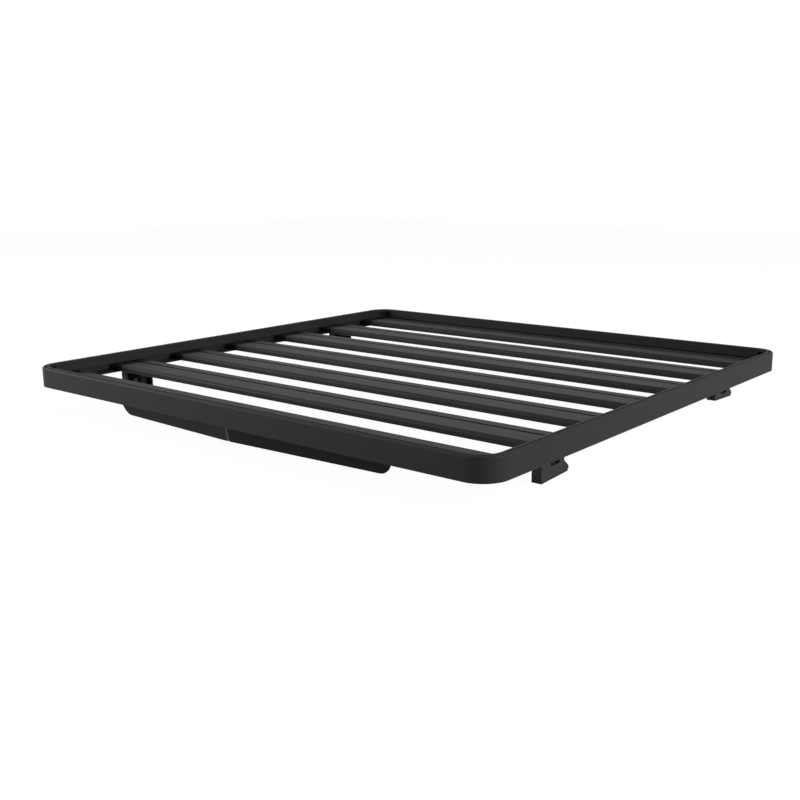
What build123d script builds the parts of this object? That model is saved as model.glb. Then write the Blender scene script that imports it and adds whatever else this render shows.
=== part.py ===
from build123d import *
import os
from math import cos, radians, sin, sqrt, tan

# Flat platform roof rack: a framed tray of extruded slats on four adjustable feet, with a wind deflector.
# Millimetres. X runs across the vehicle, -Y is the front, Z is up from the floor under the feet.

# Tray frame
rack_width = 1425
rack_length = 1358
rail_underside = 58
rail_height = 50
rail_wall = 3
rail_skirt = 3.3
rim_width = 16
rim_outer_bevel = 2.9
rim_bevel_step = 1
rim_groove_setback = 6
rim_groove_width = 5
rim_groove_depth = 5
ledge_width = 38
ledge_thickness = 3
corner_radius = 58
corner_web = 4
plug_length = 30
plug_clearance = 0.3

# Slats, their T-slots and their end caps
slat_count = 7
slat_width = 102
slat_height = 17
slat_setback = 20.5
slat_wall = 2
slat_top_radius = 8
slat_bottom_bevel = 1.5
slat_chamber_bevel = 4.5
slat_end_clearance = 1
slat_top_clearance = 0.6
slot_opening = 8.5
slot_lip = 2.5
slot_cavity_width = 15
slot_cavity_height = 6
upper_slot_shift = 13
cap_length = 39

# Feet, the brackets that hang them under the slats, and their pads
foot_slat_from_end = 1
foot_ledge_gap = 2
foot_wall = 4
foot_top_gap = 1.5
foot_front_reach = 44
foot_neck_reach = 39
foot_toe_reach = 56
foot_toe_height = 7
foot_flare_height = 21
foot_flare_radius = 6
foot_depth = 23
foot_slot_length = 34
foot_slot_drop = 30.8
foot_slot_shift = 5
front_sole_rise = 5
rear_foot_lift = 18.5
rear_sole_rise = -3.5
hanger_width = 40
hanger_sheet = 4
hanger_bend = 2
hanger_flange = 50
hanger_sole_gap = 1.5
bolt_hole = 9
bolt_inset = 21
bolt_spacing = 20
pad_thickness = 4
pad_edge_radius = 4

# Wind deflector and its brackets
deflector_span = 864
deflector_joint = 10
deflector_return = 10
deflector_sheet = 3
deflector_nose = 19.6
deflector_top_gap = 3
deflector_sweep = 5.3
deflector_lean = 12
deflector_centre_height = 40.5
deflector_end_height = 49
deflector_corner_radius = 30
bracket_inner_inset = 60
bracket_outer_inset = 110
bracket_width = 40
bracket_sheet = 3
bracket_leg = 30
bracket_ledge_gap = 1
bracket_overhang = 15
spacer_width = 24

# Sizes that follow from those above
half_width = rack_width / 2
half_length = rack_length / 2
ledge_underside = rail_underside + rail_skirt
slat_underside = ledge_underside + ledge_thickness
rim_height = rail_height - rail_skirt - ledge_thickness - slat_height - slat_top_clearance
hollow_width = rim_width - 2 * rail_wall
rim_plate = rim_groove_depth + rail_wall
hollow_height = rim_height - rim_plate - rail_wall
hollow_top = rail_height - rim_plate
slat_pitch = (rack_length - 2 * slat_setback - slat_width) / (slat_count - 1)
first_slat_y = slat_setback + slat_width / 2 - half_length
lower_slot_shift = upper_slot_shift - slot_cavity_width - slat_wall
foot_face = half_width - ledge_width - foot_ledge_gap

# The end slats' corners stay inside the rounded corners of the frame, and all slats and caps are that long.
corner_inside = corner_radius - rail_wall - slat_end_clearance
slat_inset = corner_radius - sqrt(corner_inside**2 - max(corner_radius - slat_setback, 0) ** 2)
slat_length = rack_width - 2 * slat_inset - 2 * cap_length

os.makedirs("parts", exist_ok=True)


def save(piece, name):
    piece.part.label = name
    export_step(piece.part, f"parts/{name}.step")


def slat_y(index):
    return first_slat_y + index * slat_pitch


def outward_plane(heading, centre, distance):
    """Upright plane whose x runs outwards at a heading and whose y runs up from the rails' underside."""
    outward = Vector(1, 0, 0).rotate(Axis.Z, heading)
    origin = Vector(*centre, rail_underside) + outward * distance
    return Plane(origin=origin, x_dir=outward, z_dir=outward.cross(Vector(0, 0, 1)))


def rail_section(plane, rim_depth):
    """Outer wall, ledge and grooved rim of the frame to a depth, with the outer face at x = 0."""
    with BuildSketch(plane) as section:
        Rectangle(rail_wall, rail_height, align=(Align.MAX, Align.MIN))
        with Locations((0, rail_skirt)):
            Rectangle(ledge_width, ledge_thickness, align=(Align.MAX, Align.MIN))
        with Locations((0, rail_height)):
            Rectangle(rim_width, rim_depth, align=(Align.MAX, Align.MAX))
        # The rounded outer edge of the rim is cut as three flats, which keeps the corners light
        chamfer(section.vertices().group_by(Axis.Y)[-1].sort_by(Axis.X)[-1], rim_outer_bevel)
        bevel_top = section.vertices().group_by(Axis.Y)[-1].sort_by(Axis.X)[-1]
        bevel_foot = section.vertices().group_by(Axis.X)[-1].sort_by(Axis.Y)[-1]
        chamfer([bevel_top, bevel_foot], rim_bevel_step)
        with Locations((-rim_groove_setback, rail_height)):
            Rectangle(rim_groove_width, rim_groove_depth, align=(Align.MAX, Align.MAX), mode=Mode.SUBTRACT)
        if rim_depth > rim_plate:
            with Locations((-rail_wall, hollow_top)):
                Rectangle(hollow_width, hollow_height, align=(Align.MAX, Align.MAX), mode=Mode.SUBTRACT)
    return section.sketch


def web_section(plane):
    """End web of a corner casting, which closes its open back against the end of a rail."""
    with BuildSketch(plane) as section:
        with Locations((-rail_wall / 2, hollow_top + rail_wall / 2)):
            Rectangle(
                rim_width - rail_wall / 2,
                rim_height - rim_plate + rail_wall / 2,
                align=(Align.MAX, Align.MAX),
            )
    return section.sketch


def plug_section(plane):
    """Tongue of a corner casting that fills the hollow rim of a rail."""
    with BuildSketch(plane) as section:
        with Locations((-rail_wall - plug_clearance, hollow_top - plug_clearance)):
            Rectangle(
                hollow_width - 2 * plug_clearance,
                hollow_height - 2 * plug_clearance,
                align=(Align.MAX, Align.MAX),
            )
    return section.sketch


# Four straight rails, extruded between the corners
rails = [
    ("right_rail", 0, half_width, rack_length),
    ("rear_rail", 90, half_length, rack_width),
    ("left_rail", 180, half_width, rack_length),
    ("front_rail", 270, half_length, rack_width),
]
for name, heading, reach, span in rails:
    with BuildPart() as rail:
        section = rail_section(outward_plane(heading, (0, 0), reach), rim_height)
        extrude(section, amount=span / 2 - corner_radius, both=True)
    save(rail, name)

# Four corner castings: a quarter turn of the wall, ledge and top of the rails, open at the back,
# with a web at both ends and a tongue from each web into its rail
corners = [
    ("rear_right_corner", 0, 1, 1),
    ("rear_left_corner", 90, -1, 1),
    ("front_left_corner", 180, -1, -1),
    ("front_right_corner", 270, 1, -1),
]
for name, heading, side, end in corners:
    centre = (side * (half_width - corner_radius), end * (half_length - corner_radius))
    start_plane = outward_plane(heading, centre, corner_radius)
    finish_plane = outward_plane(heading + 90, centre, corner_radius)
    with BuildPart() as corner:
        section = rail_section(start_plane, rim_plate)
        revolve(section, axis=Axis((*centre, 0), (0, 0, 1)), revolution_arc=90)
        extrude(web_section(start_plane), amount=-corner_web)
        extrude(web_section(finish_plane), amount=corner_web)
        extrude(plug_section(start_plane), amount=plug_length)
        extrude(plug_section(finish_plane), amount=-plug_length)
    save(corner, name)


def slat_section(x, index, hollow):
    """Section at a place along X, with a T-slot on top: a hollow slat with another underneath, or its cap."""
    plane = Plane(origin=(x, slat_y(index), slat_underside), x_dir=(0, 1, 0), z_dir=(1, 0, 0))
    with BuildSketch(plane) as section:
        Rectangle(slat_width, slat_height, align=(Align.CENTER, Align.MIN))
        fillet(section.vertices().group_by(Axis.Y)[-1], slat_top_radius)
        chamfer(section.vertices().group_by(Axis.Y)[0], slat_bottom_bevel)
        slots = [(upper_slot_shift, slat_height, slat_height - slot_lip, Align.MAX)]
        if hollow:
            slots.append((lower_slot_shift, 0, slot_lip, Align.MIN))
        for shift, mouth, cavity, depth_align in slots:
            with Locations((shift, mouth)):
                Rectangle(slot_opening, slot_lip, align=(Align.CENTER, depth_align), mode=Mode.SUBTRACT)
            with Locations((shift, cavity)):
                Rectangle(
                    slot_cavity_width,
                    slot_cavity_height,
                    align=(Align.CENTER, depth_align),
                    mode=Mode.SUBTRACT,
                )
        if hollow:
            for edge, slot_shift in [(-1, lower_slot_shift), (1, upper_slot_shift)]:
                near = slot_shift + edge * (slot_cavity_width / 2 + slat_wall)
                far = edge * (slat_width / 2 - slat_wall)
                top = slat_height - slat_wall
                Polygon(
                    (near, slat_wall),
                    (far, slat_wall),
                    (far, top - slat_chamber_bevel),
                    (far - edge * slat_chamber_bevel, top),
                    (near, top),
                    align=None,
                    mode=Mode.SUBTRACT,
                )
                with Locations(((near + far) / 2, slat_height / 2)):
                    Rectangle(slat_wall, slat_height - slat_wall)
    return section.sketch


# Slats, numbered from the front, and the moulded caps that close their ends over the ledges
for index in range(slat_count):
    with BuildPart() as slat:
        extrude(slat_section(0, index, hollow=True), amount=slat_length / 2, both=True)
    save(slat, f"slat_{index + 1}")
    for side_name, side in [("right", 1), ("left", -1)]:
        with BuildPart() as cap:
            extrude(slat_section(side * slat_length / 2, index, hollow=False), amount=side * cap_length)
        save(cap, f"slat_{index + 1}_{side_name}_cap")


def foot_set(name, side, slat_index, lift, rise):
    """Slotted foot, pad and hanger under a slat, with the heel at a lift and the toe higher by a rise.

    A left foot is the same casting as a right one turned round, so its toe points to the front.
    """
    front = -foot_front_reach
    neck = foot_neck_reach
    toe = foot_toe_reach
    sole_front = lift + pad_thickness
    sole_toe = sole_front + rise
    foot_top = slat_underside - foot_top_gap
    slot_height = slat_underside - foot_slot_drop
    middle_y = slat_y(slat_index)
    slot_y = middle_y + side * foot_slot_shift
    outer_plane = Plane(origin=(side * foot_face, middle_y, 0), x_dir=(0, side, 0), z_dir=(side, 0, 0))

    with BuildPart() as foot:
        # Outer plate: straight at the heel, with a neck and a flared toe
        with BuildSketch(outer_plane):
            with BuildLine() as outline:
                Polyline(
                    (front, sole_front),
                    (toe, sole_toe),
                    (toe, sole_toe + foot_toe_height),
                    (neck, sole_toe + foot_flare_height),
                    (neck, foot_top),
                    (front, foot_top),
                    close=True,
                )
                toe_corner = outline.vertices().group_by(Axis.X)[-1].sort_by(Axis.Y)[-1]
                neck_corner = outline.vertices().group_by(Axis.X)[-2].sort_by(Axis.Y)[0]
                fillet([toe_corner, neck_corner], foot_flare_radius)
            make_face()
        extrude(amount=-foot_wall)
        # Sole plate and a cheek at each end
        with BuildSketch(outer_plane):
            with BuildLine():
                Polyline(
                    (front, sole_front),
                    (toe, sole_toe),
                    (toe, sole_toe + foot_wall),
                    (front, sole_front + foot_wall),
                    close=True,
                )
            make_face()
            for cheek, sole, cheek_align in [(front, sole_front, Align.MIN), (neck, sole_toe, Align.MAX)]:
                cheek_height = foot_top - sole - foot_wall / 2
                with Locations((cheek, foot_top)):
                    Rectangle(foot_wall, cheek_height, align=(cheek_align, Align.MAX))
        extrude(amount=-foot_depth)
        # Long slot through the outer plate, for setting the height of the rack
        with BuildSketch(outer_plane):
            with Locations((foot_slot_shift, slot_height)):
                SlotOverall(foot_slot_length, bolt_hole)
        extrude(amount=-foot_wall, mode=Mode.SUBTRACT)
    save(foot, f"{name}_foot")

    # Hanger: a bent strip, flat under the slat and upright behind the slot of the foot
    plate_face = foot_face - foot_wall
    plate_bottom = max(sole_front, sole_toe) + foot_wall + hanger_sole_gap
    hanger_plane = Plane(origin=(0, slot_y, 0), x_dir=(side, 0, 0), z_dir=(0, -side, 0))
    with BuildPart() as hanger:
        with BuildSketch(hanger_plane):
            with BuildLine() as profile:
                Polyline(
                    (plate_face, plate_bottom),
                    (plate_face, slat_underside),
                    (plate_face - hanger_flange, slat_underside),
                    (plate_face - hanger_flange, slat_underside - hanger_sheet),
                    (plate_face - hanger_sheet, slat_underside - hanger_sheet),
                    (plate_face - hanger_sheet, plate_bottom),
                    close=True,
                )
                outer_bend = profile.vertices().group_by(Axis.Y)[-1].sort_by(Axis.X)[-1]
                fillet(outer_bend, hanger_sheet + hanger_bend)
                inner_bend = profile.vertices().filter_by_position(
                    Axis.Y, slat_underside - hanger_sheet, slat_underside - hanger_sheet
                ).sort_by(Axis.X)[-1]
                fillet(inner_bend, hanger_bend)
            make_face()
        extrude(amount=hanger_width / 2, both=True)
        # Bolt holes into the slat's lower T-slot and behind the foot's slot
        bolt_line = [side * (plate_face - bolt_inset - step * bolt_spacing) for step in (0, 1)]
        with Locations([(x, middle_y + lower_slot_shift, slat_underside) for x in bolt_line]):
            Hole(radius=bolt_hole / 2, depth=hanger_sheet)
        with Locations(Plane(origin=(side * plate_face, slot_y, slot_height), z_dir=(side, 0, 0))):
            Hole(radius=bolt_hole / 2, depth=hanger_sheet)
    save(hanger, f"{name}_hanger")

    with BuildPart() as pad:
        with BuildSketch(outer_plane):
            with BuildLine():
                Polyline((front, lift), (toe, lift + rise), (toe, sole_toe), (front, sole_front), close=True)
            make_face()
        extrude(amount=-foot_depth)
        fillet(pad.edges().filter_by(Axis.Z).sort_by(Axis((0, 0, 0), (0, side, 0)))[-2:], pad_edge_radius)
    save(pad, f"{name}_pad")


# Four feet, under the second slat from each end, on soles that follow a roof crowned along its length
front_slat = foot_slat_from_end
rear_slat = slat_count - 1 - foot_slat_from_end
foot_set("front_right", 1, front_slat, 0, front_sole_rise)
foot_set("front_left", -1, front_slat, front_sole_rise, -front_sole_rise)
foot_set("rear_right", 1, rear_slat, rear_foot_lift, rear_sole_rise)
foot_set("rear_left", -1, rear_slat, rear_foot_lift + rear_sole_rise, -rear_sole_rise)

# Wind deflector: two sheets with their inner ends folded back, swept back and leaning under the front rail
sweep = radians(deflector_sweep)
lean = radians(deflector_lean)
deflector_top = ledge_underside - deflector_top_gap
deflector_front = deflector_nose - half_length
half_sheet = deflector_span / 2 / cos(sweep)
edge_fall = (deflector_end_height - deflector_centre_height) / half_sheet
joint_margin = 4 * deflector_sheet
return_edge = deflector_joint / 2 / cos(sweep) + deflector_sheet
return_drop = (deflector_sheet + deflector_return) * tan(lean)
deflector_plane = Plane(
    origin=(0, deflector_front, deflector_top),
    x_dir=(cos(sweep), sin(sweep), 0),
    z_dir=(cos(lean) * sin(sweep), -cos(lean) * cos(sweep), -sin(lean)),
)
with BuildPart() as right_panel:
    with BuildSketch(deflector_plane) as sheet:
        with BuildLine():
            Polyline(
                (-joint_margin, 0),
                (half_sheet, 0),
                (half_sheet, -deflector_end_height),
                (-joint_margin, edge_fall * joint_margin - deflector_centre_height),
                close=True,
            )
        make_face()
        fillet(sheet.vertices().group_by(Axis.X)[-1].sort_by(Axis.Y)[0], deflector_corner_radius)
    extrude(amount=-deflector_sheet)
    with BuildSketch(deflector_plane):
        with BuildLine():
            Polyline(
                (-joint_margin, -return_drop),
                (return_edge, -return_drop),
                (return_edge, -edge_fall * return_edge - deflector_centre_height),
                (-joint_margin, edge_fall * joint_margin - deflector_centre_height),
                close=True,
            )
        make_face()
    extrude(amount=-deflector_sheet - deflector_return)
    split(bisect_by=Plane.YZ.offset(deflector_joint / 2), keep=Keep.TOP)
save(right_panel, "right_deflector_panel")
with BuildPart() as left_panel:
    mirror(right_panel.part, about=Plane.YZ)
save(left_panel, "left_deflector_panel")

# Two brackets for each sheet, which carry it under the front slat
bracket_places = [("inner", bracket_inner_inset), ("outer", deflector_span / 2 - bracket_outer_inset)]
for side_name, side in [("right", 1), ("left", -1)]:
    for place_name, bracket_x in bracket_places:
        bracket_y = deflector_front + bracket_x * tan(sweep)
        bolt_run = (slat_y(0) + lower_slot_shift - bracket_y) / cos(sweep)
        plate_top = deflector_top_gap - bracket_ledge_gap
        plate_bottom = plate_top - bracket_sheet
        back = deflector_sheet + bracket_sheet
        leg_end = back * sin(lean) - bracket_leg * cos(lean)
        bend = (back * sin(lean) - plate_bottom) / cos(lean)
        rearward = Vector(-side * sin(sweep), cos(sweep), 0)
        bracket_plane = Plane(
            origin=(side * bracket_x, bracket_y, deflector_top),
            x_dir=rearward,
            z_dir=rearward.cross(Vector(0, 0, 1)),
        )
        with BuildPart() as bracket:
            with BuildSketch(bracket_plane):
                with BuildLine():
                    Polyline(
                        (deflector_sheet * cos(lean), deflector_sheet * sin(lean)),
                        (deflector_sheet * cos(lean), plate_top),
                        (bolt_run + bracket_overhang, plate_top),
                        (bolt_run + bracket_overhang, plate_bottom),
                        (back * cos(lean) + bend * sin(lean), plate_bottom),
                        (back * cos(lean) + bracket_leg * sin(lean), leg_end),
                        (
                            deflector_sheet * cos(lean) + bracket_leg * sin(lean),
                            deflector_sheet * sin(lean) - bracket_leg * cos(lean),
                        ),
                        close=True,
                    )
                make_face()
                with Locations((bolt_run, plate_top)):
                    Rectangle(
                        spacer_width,
                        slat_underside - deflector_top - plate_top,
                        align=(Align.CENTER, Align.MIN),
                    )
            extrude(amount=bracket_width / 2, both=True)
        save(bracket, f"{side_name}_{place_name}_deflector_bracket")
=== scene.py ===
from math import cos, radians, sin

import bpy
from mathutils import Matrix, Vector


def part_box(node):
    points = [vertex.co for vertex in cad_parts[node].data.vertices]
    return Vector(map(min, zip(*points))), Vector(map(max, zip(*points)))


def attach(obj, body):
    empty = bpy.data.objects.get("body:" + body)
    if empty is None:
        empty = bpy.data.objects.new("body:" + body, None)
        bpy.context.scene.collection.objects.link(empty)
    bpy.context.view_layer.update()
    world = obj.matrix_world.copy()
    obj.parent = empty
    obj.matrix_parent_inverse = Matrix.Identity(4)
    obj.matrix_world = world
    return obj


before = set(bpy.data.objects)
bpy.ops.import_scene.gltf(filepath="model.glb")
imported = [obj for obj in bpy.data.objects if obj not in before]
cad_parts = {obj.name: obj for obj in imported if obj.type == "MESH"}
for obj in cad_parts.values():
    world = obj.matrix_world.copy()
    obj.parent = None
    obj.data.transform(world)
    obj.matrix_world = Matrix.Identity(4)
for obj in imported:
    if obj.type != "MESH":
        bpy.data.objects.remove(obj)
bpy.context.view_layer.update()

# Rails and corners
# Four straight aluminium extrusions with a hollow, grooved rim, joined by cast corners that plug into it.
# All are powder coated satin black, which leaves a fine orange peel and a slightly uneven sheen.
coat_dark_share = (0.8, 0.8, 0.81)
coat_light_share = (1.2, 1.2, 1.21)
coat_grain = 2.0
peel_scale = 900.0
peel_gloss = 0.06
peel_relief = 0.12
peel_depth = 0.0004
cloud_scale = 9.0
cloud_detail = 3.0
cloud_gloss = 0.10
drawn_stretch = (0.02, 1.0, 1.0)
drawn_scale = 260.0


class Socket:
    """One shader socket, on which arithmetic adds Math nodes to its material."""

    def __init__(self, tree, socket):
        self.tree = tree
        self.socket = socket

    def node(self, kind, settings=(), inputs=(), output=0):
        """Adds a node, with its settings first and then values or links for its sockets."""
        made = self.tree.nodes.new(kind)
        for name, value in dict(settings).items():
            setattr(made, name, value)
        for key, value in dict(inputs).items():
            if isinstance(value, Socket):
                self.tree.links.new(value.socket, made.inputs[key])
            else:
                made.inputs[key].default_value = value
        return Socket(self.tree, made.outputs[output]) if made.outputs else None

    def maths(self, operation, first, second):
        return self.node("ShaderNodeMath", {"operation": operation}, {0: first, 1: second})

    def __add__(self, other):
        return self.maths("ADD", self, other)

    def __sub__(self, other):
        return self.maths("SUBTRACT", self, other)

    def __rsub__(self, other):
        return self.maths("SUBTRACT", other, self)

    def __mul__(self, other):
        return self.maths("MULTIPLY", self, other)

    __radd__ = __add__
    __rmul__ = __mul__


def new_material(name):
    """An empty material and its Object coordinates, in metres."""
    material = bpy.data.materials.new(name)
    material.use_nodes = True
    material.node_tree.nodes.clear()
    coordinates = material.node_tree.nodes.new("ShaderNodeTexCoord")
    return material, Socket(material.node_tree, coordinates.outputs["Object"])


def noise(place, scale, detail):
    """An uneven pattern between 0 and 1, finer with a larger scale."""
    return place.node("ShaderNodeTexNoise", {}, {"Vector": place, "Scale": scale, "Detail": detail})


def tone_between(share, dark, light):
    """A colour that goes from dark to light as the share goes from 0 to 1."""
    factor, first_colour, second_colour, mixed_colour = 0, 6, 7, 2
    inputs = {factor: share, first_colour: dark, second_colour: light}
    return share.node("ShaderNodeMix", {"data_type": "RGBA"}, inputs, mixed_colour)


def relief(height, strength, depth):
    """The small turns of a surface that a pattern's heights give it."""
    return height.node("ShaderNodeBump", {}, {"Strength": strength, "Distance": depth, "Height": height})


def set_surface(place, inputs):
    """Ends a material in one shader with these inputs."""
    surface = place.node("ShaderNodeBsdfPrincipled", {}, inputs)
    place.node("ShaderNodeOutputMaterial", {}, {"Surface": surface})


def powder_coat(name, level, roughness, sheen, draw_marks=0.0):
    """Satin powder coat: orange peel, a faint cloudiness, an uneven gloss and marks of drawing along X."""
    dark = (*(level * share for share in coat_dark_share), 1)
    light = (*(level * share for share in coat_light_share), 1)
    material, place = new_material(name)
    peel = noise(place, peel_scale, coat_grain)
    cloud = noise(place, cloud_scale, cloud_detail)
    gloss = roughness + cloud_gloss * (cloud - 0.5) + peel_gloss * (peel - 0.5)
    if draw_marks:
        drawn = place.node("ShaderNodeVectorMath", {"operation": "MULTIPLY"}, {0: place, 1: drawn_stretch})
        gloss = gloss + draw_marks * (noise(drawn, drawn_scale, coat_grain) - 0.5)
    set_surface(place, {
        "Base Color": tone_between(cloud, dark, light),
        "Roughness": gloss,
        "Specular IOR Level": sheen,
        "Normal": relief(peel, peel_relief, peel_depth),
    })
    return material


def finish_nodes(nodes, material):
    """Gives the solids of these names a finish in place of their plain one."""
    for node in nodes:
        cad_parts[node].data.materials.clear()
        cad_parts[node].data.materials.append(material)


frame_coat = powder_coat("frame_coat", level=0.012, roughness=0.55, sheen=0.10)
sides = ("left", "right")
ends = ("front", "rear")
corners = [(end, side) for end in ends for side in sides]
finish_nodes([f"{side}_rail" for side in ends + sides], frame_coat)
finish_nodes([f"{end}_{side}_corner" for end, side in corners], frame_coat)

# Slats
# Seven hollow aluminium extrusions across the tray, with a T-slot on top and another underneath.
# They are coated like the frame, over faint marks that the drawing of the metal leaves along them.
slat_coat = powder_coat("slat_coat", level=0.012, roughness=0.55, sheen=0.10, draw_marks=0.12)
slat_count = 7
slats = [f"slat_{number}" for number in range(1, slat_count + 1)]
finish_nodes(slats, slat_coat)

# Slat end caps
# Moulded black plastic blocks with the slats' own outline, which close their ends and lie on the ledges.
# The plastic is matt, with the fine grain of a mould. It is black and is also painted darker than the frame's
# coat, as painted shade for the deep recesses at the slat ends.
grain_detail = 2.0
grain_gloss = 0.15
grain_depth = 0.0005


def grey(level):
    return (level, level, level, 1)


def moulded(name, dark, light, roughness, sheen, grain_scale, grain_relief):
    """Matt moulded plastic or rubber with an even grain."""
    material, place = new_material(name)
    grain = noise(place, grain_scale, grain_detail)
    set_surface(place, {
        "Base Color": tone_between(grain, grey(dark), grey(light)),
        "Roughness": roughness + grain_gloss * (grain - 0.5),
        "Specular IOR Level": sheen,
        "Normal": relief(grain, grain_relief, grain_depth),
    })
    return material


# Near black: the caps' own black plastic, with painted shade of the recesses at the slat ends on top.
cap_plastic = moulded(
    "cap_plastic", dark=0.002, light=0.004, roughness=0.7, sheen=0.06, grain_scale=1500.0, grain_relief=0.2
)
caps = [f"{slat}_{side}_cap" for slat in slats for side in sides]
finish_nodes(caps, cap_plastic)

# Feet
# Four open cast boots under the second slat from each end, held by bent hangers and set on rubber pads.
# The castings have the frame's coat painted lighter, as painted light for the light they miss under the rail;
# the hangers are painted near black, as painted shade in the feet's slots and inside the boots; the rubber is
# matt.
# Painted light: the boots' coat is lighter than the frame's, standing in for light that falls on them from
# below.
foot_coat = powder_coat("foot_coat", level=0.016, roughness=0.55, sheen=0.10)
finish_nodes([f"{end}_{side}_foot" for end, side in corners], foot_coat)
# Painted shade: the hangers are nearly black so the feet's slots and insides read as shaded.
hanger_painted_shade_coat = powder_coat("hanger_painted_shade_coat", level=0.003, roughness=0.60, sheen=0.04)
finish_nodes([f"{end}_{side}_hanger" for end, side in corners], hanger_painted_shade_coat)
pad_rubber = moulded(
    "pad_rubber", dark=0.010, light=0.016, roughness=0.75, sheen=0.12, grain_scale=600.0, grain_relief=0.3
)
finish_nodes([f"{end}_{side}_pad" for end, side in corners], pad_rubber)

# Wind deflector
# Two thin coated sheets under the front rail, leaning back, hung from the front slat on folded brackets.
# They have the frame's black coat painted darker, as painted shade for their fronts, which face down, and for
# the brackets under the slat.
sheet_coat = powder_coat("sheet_coat", level=0.006, roughness=0.58, sheen=0.08)
brackets = [f"{side}_{span}_deflector_bracket" for side in sides for span in ("inner", "outer")]
finish_nodes([f"{side}_deflector_panel" for side in sides], sheet_coat)
finish_nodes(brackets, sheet_coat)

# Slat bolts
# Low black steel bolts with a socket for a key, up through the ledges into the end caps, one to a cap.
# Their heads sit inside the skirt of the rails and show only from below.
ledge_thickness = 0.003
slat_bolt_head = 0.0028
slat_bolt_radius = 0.0065
slat_bolt_dome = 0.0014
slat_bolt_edge = 0.0002
key_radius = 0.0029
key_depth = 0.0017
round_sides = 32
hex_sides = 6
edge_segments = 2
facing = 0.9
smooth_angle = radians(30)
steel_dark = 0.010
steel_light = 0.022
steel_metallic = 0.6
steel_roughness = 0.38
plating_scale = 300.0
plating_detail = 3.0
plating_gloss = 0.2

fastener, steel_place = new_material("fastener")
plating = noise(steel_place, plating_scale, plating_detail)
set_surface(steel_place, {
    "Base Color": tone_between(plating, grey(steel_dark), grey(steel_light)),
    "Metallic": steel_metallic,
    "Roughness": steel_roughness + plating_gloss * (plating - 0.5),
})


def start_head(name, side_count, radius, top, bottom, dome):
    """Starts a bolt head, from its top down to its drawn-in lower edge, and stays in edit mode."""
    straight_bottom = bottom + dome / 2
    middle = (0, 0, (top + straight_bottom) / 2)
    bpy.ops.object.select_all(action="DESELECT")
    bpy.ops.mesh.primitive_cylinder_add(
        vertices=side_count, radius=radius, depth=top - straight_bottom, location=middle
    )
    piece = bpy.context.object
    piece.name = name
    bpy.ops.object.transform_apply(location=True)
    for face in piece.data.polygons:
        face.select = face.normal.z < -facing
    bpy.ops.object.mode_set(mode="EDIT")
    bpy.ops.mesh.select_mode(type="FACE")
    bpy.ops.mesh.inset(thickness=dome)
    bpy.ops.transform.translate(value=(0, 0, -dome / 2))
    return piece


def finish_bolt(piece, edge):
    """Leaves edit mode, breaks the sharp edges and gives the plated finish."""
    bpy.ops.mesh.select_all(action="SELECT")
    bpy.ops.mesh.normals_make_consistent(inside=False)
    bpy.ops.object.mode_set(mode="OBJECT")
    bevel = piece.modifiers.new("edges", "BEVEL")
    bevel.width = edge
    bevel.segments = edge_segments
    bevel.limit_method = "ANGLE"
    bpy.ops.object.modifier_apply(modifier=bevel.name)
    bpy.ops.object.shade_smooth_by_angle(angle=smooth_angle)
    piece.data.materials.append(fastener)


def set_out(pattern, places):
    """Copies a finished pattern to its places, each with its own mesh, and removes the pattern."""
    name = pattern.name
    pattern.name = "pattern"
    for number, place in enumerate(places, 1):
        piece = pattern.copy()
        piece.data = pattern.data.copy()
        piece.data.transform(place)
        piece.name = f"{name}_{number}"
        bpy.context.scene.collection.objects.link(piece)
        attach(piece, "root")
    bpy.data.objects.remove(pattern)


slat_bolt = start_head("slat_bolt", round_sides, slat_bolt_radius, 0, -slat_bolt_head, slat_bolt_dome)
bpy.ops.object.mode_set(mode="OBJECT")
bpy.ops.object.select_all(action="DESELECT")
bpy.ops.mesh.primitive_cylinder_add(
    vertices=hex_sides, radius=key_radius, depth=2 * key_depth, location=(0, 0, -slat_bolt_head)
)
key = bpy.context.object
bpy.context.view_layer.objects.active = slat_bolt
key_cut = slat_bolt.modifiers.new("key", "BOOLEAN")
key_cut.object = key
key_cut.operation = "DIFFERENCE"
bpy.ops.object.modifier_apply(modifier=key_cut.name)
bpy.data.objects.remove(key)
slat_bolt.select_set(True)
bpy.ops.object.mode_set(mode="EDIT")
finish_bolt(slat_bolt, slat_bolt_edge)
slat_bolt_places = []
for slat in slats:
    slat_low, slat_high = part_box(slat)
    right_x = (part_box(f"{slat}_right_cap")[1].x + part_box("right_rail")[0].x) / 2
    left_x = (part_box(f"{slat}_left_cap")[0].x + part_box("left_rail")[1].x) / 2
    for bolt_x in (right_x, left_x):
        head_top = Vector((bolt_x, (slat_low.y + slat_high.y) / 2, slat_low.z - ledge_thickness))
        slat_bolt_places.append(Matrix.Translation(head_top))
set_out(slat_bolt, slat_bolt_places)

# Hanger bolts
# Eight plated hex bolts on plain washers, up through the flanges of the hangers into the lower T-slots.
# The heads stand under the flanges, two to a hanger.
foot_slats = {"front": "slat_2", "rear": "slat_6"}
hex_radius = 0.0075
hex_height = 0.0053
hex_chamfer = 0.0007
hex_edge = 0.0003
washer_radius = 0.008
washer_height = 0.0016
shank_radius = 0.004
shank_sides = 24
hanger_sheet = 0.004
hanger_bolt_inset = 0.021
hanger_bolt_spacing = 0.020
lower_slot_shift = -0.004
hanger_shank = 0.0105


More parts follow.
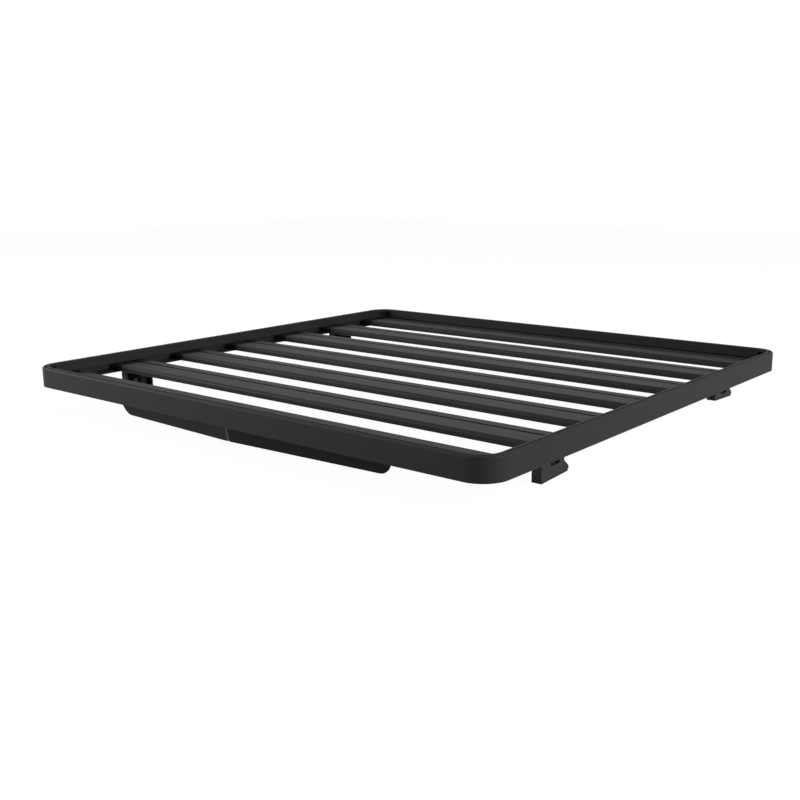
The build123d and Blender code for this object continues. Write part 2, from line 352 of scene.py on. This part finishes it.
def hex_bolt(name, has_washer, shank_length):
    """A hex head below the origin, on a washer where it has one, with any shank that shows above."""
    seat = -washer_height if has_washer else 0
    piece = start_head(name, hex_sides, hex_radius, seat, seat - hex_height, hex_chamfer)
    if has_washer:
        bpy.ops.mesh.primitive_cylinder_add(
            vertices=round_sides, radius=washer_radius, depth=washer_height, location=(0, 0, seat / 2)
        )
    if shank_length:
        bpy.ops.mesh.primitive_cylinder_add(
            vertices=shank_sides, radius=shank_radius, depth=shank_length, location=(0, 0, shank_length / 2)
        )
    finish_bolt(piece, hex_edge)
    return piece


def hanger_seat(end, side):
    """The way out along X at a hanger, and the point on its outer face at its slat's middle and underside."""
    slat_low, slat_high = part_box(foot_slats[end])
    hanger_low, hanger_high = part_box(f"{end}_{side}_hanger")
    outward, plate_face = (1, hanger_high.x) if side == "right" else (-1, hanger_low.x)
    return outward, Vector((plate_face, (slat_low.y + slat_high.y) / 2, slat_low.z))


hanger_bolt_places = []
for end, side in corners:
    outward, plate_top = hanger_seat(end, side)
    for step in (0, 1):
        inset = hanger_bolt_inset + step * hanger_bolt_spacing
        flange_seat = plate_top + Vector((-outward * inset, lower_slot_shift, -hanger_sheet))
        hanger_bolt_places.append(Matrix.Translation(flange_seat))
set_out(hex_bolt("hanger_bolt", has_washer=True, shank_length=hanger_shank), hanger_bolt_places)

# Foot bolts
# Four of the same hex bolts, sideways through the hangers in line with the long slots of the feet.
# Their heads are on the inner side, and their shanks end just behind the slots.
foot_slot_drop = 0.0308
foot_slot_shift = 0.005
foot_shank = 0.0045
foot_bolt_places = []
for end, side in corners:
    outward, plate_top = hanger_seat(end, side)
    plate_seat = plate_top + Vector((-outward * hanger_sheet, outward * foot_slot_shift, -foot_slot_drop))
    foot_bolt_places.append(Matrix.Translation(plate_seat) @ Matrix.Rotation(outward * radians(90), 4, "Y"))
set_out(hex_bolt("foot_bolt", has_washer=False, shank_length=foot_shank), foot_bolt_places)

# Deflector bolts and nuts
# A hex bolt up through each bracket's plate into the front slat, and a nut on a stud behind its leg.
# All are plated black like the other fasteners.
deflector_sweep = radians(5.3)
deflector_lean = radians(12)
bracket_width = 0.040
bracket_sheet = 0.003
bracket_leg = 0.030
bracket_overhang = 0.015
bracket_rise = 0.007
nut_up_leg = 0.010
stud_length = 0.0095

bracket_bolt_places = []
panel_nut_places = []
for bracket in brackets:
    # The bracket is turned by the sweep, so its run is its box's depth less what its width adds there.
    bracket_low, bracket_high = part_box(bracket)
    outward = 1 if "right" in bracket else -1
    rearward = Vector((-outward * sin(deflector_sweep), cos(deflector_sweep), 0))
    plan_middle = (bracket_low + bracket_high) / 2
    run = (bracket_high.y - bracket_low.y - bracket_width * sin(deflector_sweep)) / cos(deflector_sweep)
    head_top = plan_middle + rearward * (run / 2 - bracket_overhang)
    head_top.z = bracket_high.z - bracket_rise
    bracket_bolt_places.append(Matrix.Translation(head_top))
    # Its leg leans back with the panel down to its foot, and the nut sits on the leg's rear face.
    leg_normal = rearward * cos(deflector_lean) + Vector((0, 0, sin(deflector_lean)))
    leg_down = rearward * sin(deflector_lean) - Vector((0, 0, cos(deflector_lean)))
    leg_foot = plan_middle - rearward * (run / 2 - bracket_leg * sin(deflector_lean))
    leg_foot.z = bracket_low.z
    nut_seat = leg_foot + leg_normal * bracket_sheet - leg_down * nut_up_leg
    turn = leg_normal.rotation_difference(Vector((0, 0, -1))).inverted()
    panel_nut_places.append(Matrix.Translation(nut_seat) @ turn.to_matrix().to_4x4())
set_out(hex_bolt("bracket_bolt", has_washer=True, shank_length=0), bracket_bolt_places)
panel_nut = start_head("panel_nut", hex_sides, hex_radius, 0, -hex_height, hex_chamfer)
bpy.ops.mesh.primitive_cylinder_add(
    vertices=shank_sides, radius=shank_radius, depth=stud_length, location=(0, 0, -stud_length / 2)
)
finish_bolt(panel_nut, hex_edge)
set_out(panel_nut, panel_nut_places)

# Deflector joint strip
# A narrow strip of the bolts' plated steel that closes the joint between the panels' folded inner ends.
# It lies flush with the panels, leans back with them and has rounded front edges.
strip_height = 0.0410
strip_depth = 0.006
strip_round = 0.0012
strip_round_segments = 3
strip_clearance = 0.0002

left_panel_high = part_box("left_deflector_panel")[1]
right_panel_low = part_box("right_deflector_panel")[0]
strip_width = right_panel_low.x - left_panel_high.x - 2 * strip_clearance
bpy.ops.object.select_all(action="DESELECT")
bpy.ops.mesh.primitive_cube_add(
    size=1, location=(0, strip_depth / 2, -strip_height / 2), scale=(strip_width, strip_depth, strip_height)
)
joint_strip = bpy.context.object
joint_strip.name = "joint_strip"
bpy.ops.object.transform_apply(location=True, scale=True)
for face in joint_strip.data.polygons:
    face.select = face.normal.y < -facing
bpy.ops.object.mode_set(mode="EDIT")
bpy.ops.mesh.select_mode(type="FACE")
bpy.ops.mesh.bevel(offset=strip_round, segments=strip_round_segments, affect="EDGES")
bpy.ops.object.mode_set(mode="OBJECT")
strip_top = Vector(((right_panel_low.x + left_panel_high.x) / 2, right_panel_low.y, left_panel_high.z))
joint_strip.data.transform(Matrix.Translation(strip_top) @ Matrix.Rotation(deflector_lean, 4, "X"))
bpy.ops.object.shade_smooth_by_angle(angle=smooth_angle)
joint_strip.data.materials.append(fastener)
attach(joint_strip, "root")

# Studio
# A wide white floor that takes the rack's soft shadow, an even white surround and four large soft lamps.
# Camera and gloss see floor and surround as plain white, apart from a share of the floor's shadow.
floor_size = 14.0
floor_tone = 0.68
floor_white = 1.06
shadow_share = 0.10
surround_light = 0.35
surround_white = 1.0
white = grey(1)
lamp_size = 3.0
lamps = [
    ("front_left_lamp", (-4.5, -3.5, 1.8), 310.0),
    ("front_lamp", (-1.2, -6.0, 1.8), 10.0),
    ("right_lamp", (5.5, 0.6, 1.8), 395.0),
    ("left_rear_lamp", (-4.0, 5.0, 1.8), 4.0),
]


def white_rays(place):
    """One for rays from the camera and for those that gloss or glass sends on, else zero."""
    camera_ray, glossy_ray, clear_ray = (
        place.node("ShaderNodeLightPath", {}, {}, f"Is {kind} Ray")
        for kind in ("Camera", "Glossy", "Transmission")
    )
    return place.maths("MAXIMUM", place.maths("MAXIMUM", camera_ray, glossy_ray), clear_ray)


bpy.ops.object.select_all(action="DESELECT")
bpy.ops.mesh.primitive_plane_add(size=floor_size, location=(0, 0, 0))
floor = bpy.context.object
floor.name = "floor"
floor_paint, floor_place = new_material("floor_paint")
floor_light = floor_place.node("ShaderNodeEmission", {}, {"Color": white, "Strength": floor_white})
floor_matt = floor_place.node("ShaderNodeBsdfDiffuse", {}, {"Color": grey(floor_tone)})
light_share = white_rays(floor_place) * (1 - shadow_share)
floor_surface = floor_place.node("ShaderNodeMixShader", {}, {0: light_share, 1: floor_matt, 2: floor_light})
floor_place.node("ShaderNodeOutputMaterial", {}, {"Surface": floor_surface})
floor.data.materials.append(floor_paint)

world = bpy.data.worlds.new("surround")
bpy.context.scene.world = world
world.use_nodes = True
world.node_tree.nodes.clear()
# Nothing in the surround reads coordinates, so its nodes start from no socket.
around = Socket(world.node_tree, None)
lighting = around.node("ShaderNodeBackground", {}, {"Color": white, "Strength": surround_light})
backdrop = around.node("ShaderNodeBackground", {}, {"Color": white, "Strength": surround_white})
surround = around.node("ShaderNodeMixShader", {}, {0: white_rays(around), 1: lighting, 2: backdrop})
around.node("ShaderNodeOutputWorld", {}, {"Surface": surround})

for name, place, power in lamps:
    lamp_data = bpy.data.lights.new(name, "AREA")
    lamp_data.size = lamp_size
    lamp_data.energy = power
    lamp = bpy.data.objects.new(name, lamp_data)
    lamp.location = place
    lamp.rotation_euler = Vector(place).to_track_quat("Z", "Y").to_euler()
    lamp.visible_camera = False
    bpy.context.scene.collection.objects.link(lamp)

# Camera
# A long standard lens off the front right corner, a little above the tray.
# The picture is cut slightly to one side of the lens's axis, which the shift gives.
image_width = 800
focal_pixels = 1035.379
centre_pixel = 420.419
sensor_width = 36.0
yaw = radians(38.979)
pitch = radians(12.768)
roll = radians(-0.379)
from_rim_middle = Vector((1.692793, -2.078827, 0.493121))
rim_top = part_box("right_rail")[1].z
back = Vector((sin(yaw) * cos(pitch), -cos(yaw) * cos(pitch), sin(pitch)))
level = Vector((cos(yaw), sin(yaw), 0))
upright = back.cross(level)
right = level * cos(roll) + upright * sin(roll)
up = upright * cos(roll) - level * sin(roll)
camera_data = bpy.data.cameras.new("camera")
camera_data.sensor_width = sensor_width
camera_data.lens = focal_pixels / image_width * sensor_width
camera_data.shift_x = 0.5 - centre_pixel / image_width
camera = bpy.data.objects.new("camera", camera_data)
camera_turn = Matrix((right, up, back)).transposed().to_4x4()
camera.matrix_world = Matrix.Translation(from_rim_middle + Vector((0, 0, rim_top))) @ camera_turn
bpy.context.scene.collection.objects.link(camera)
bpy.context.scene.camera = camera
bpy.context.scene.view_settings.view_transform = "Standard"
